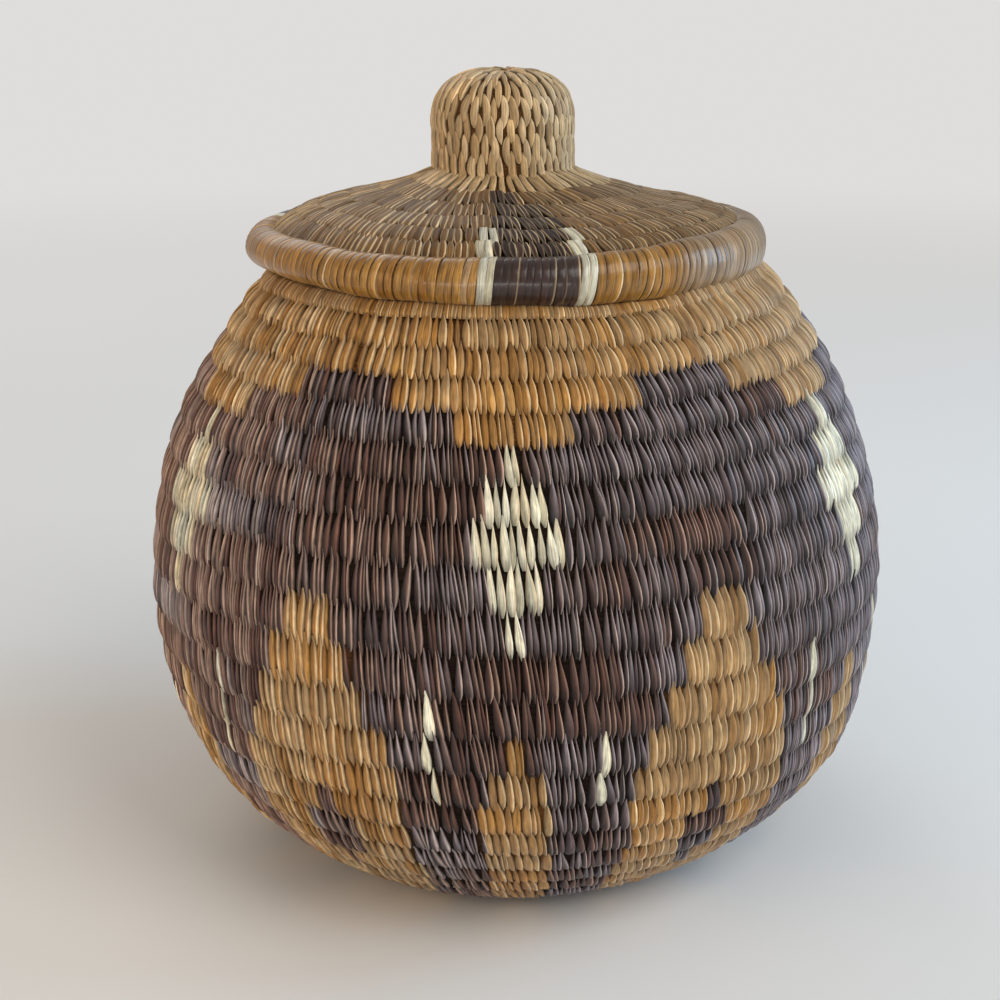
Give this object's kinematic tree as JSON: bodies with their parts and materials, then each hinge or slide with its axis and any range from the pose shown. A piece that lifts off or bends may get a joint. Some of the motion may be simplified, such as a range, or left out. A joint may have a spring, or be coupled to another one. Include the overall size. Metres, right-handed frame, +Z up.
{
  "type": "lidded basket",
  "caption": "Round belly basket of coiled grass sewn with tan and dark palm strips, with a domed lift-off lid, a fat rim roll and a round knob.",
  "frame": {"origin": "middle of the flat base, on the surface the basket stands on", "axes": "+Z up through the knob; -Y is the side that the picture shows, +X to its right"},
  "size_m": [0.2187, 0.22, 0.2315],
  "materials": {
    "tan_palm": "dry tan palm strips sewn over a grass coil, with small dark gaps between the stitches",
    "dark_palm": "palm strips dyed dark brown, with a dull bluish sheen",
    "mixed_palm": "tan and dark brown palm strips in stepped bars",
    "pale_palm": "pale, sun-bleached palm strips, with a slight gloss",
    "gold_palm": "smooth glossy golden palm strips wound close over a fat coil"
  },
  "bodies": {
    "basket": {"base_start_knot": "mixed_palm", "base_coil_00": "mixed_palm", "base_coil_01": "mixed_palm", "base_coil_02": "mixed_palm", "base_coil_03": "mixed_palm", "base_coil_04": "mixed_palm", "base_coil_05": "mixed_palm", "base_coil_06": "mixed_palm", "base_coil_07": "mixed_palm", "wall_coil_01": "mixed_palm", "wall_coil_02": "mixed_palm", "wall_coil_03": "mixed_palm", "wall_coil_04": "mixed_palm", "wall_coil_05": "mixed_palm", "wall_coil_06": "mixed_palm", "wall_coil_07": "mixed_palm", "wall_coil_08": "mixed_palm", "wall_coil_09": "mixed_palm", "wall_coil_10": "dark_palm", "wall_coil_11": "dark_palm", "wall_coil_12": "dark_palm", "wall_coil_13": "dark_palm", "wall_coil_14": "dark_palm", "wall_coil_15": "tan_palm", "wall_coil_16": "tan_palm", "wall_coil_17": "tan_palm", "wall_coil_18": "tan_palm", "rim_coil": "tan_palm"},
    "lid": {"knob_start_knot": "pale_palm", "knob_coil_00": "pale_palm", "knob_coil_01": "pale_palm", "knob_coil_02": "pale_palm", "knob_coil_03": "pale_palm", "knob_coil_04": "pale_palm", "knob_coil_05": "pale_palm", "knob_coil_06": "pale_palm", "knob_coil_07": "pale_palm", "knob_coil_08": "pale_palm", "lid_coil_01": "pale_palm", "lid_coil_02": "pale_palm", "lid_coil_03": "pale_palm", "lid_coil_04": "pale_palm", "lid_coil_05": "pale_palm", "lid_rim_roll": "gold_palm", "lid_collar_coil_1": "tan_palm", "lid_collar_coil_2": "tan_palm"}
  },
  "joints": [
    {"name": "lid_lift", "type": "slide", "parent": "basket", "child": "lid", "axis": [0, 0, 1], "range_m": [0, 0.12]}
  ]
}
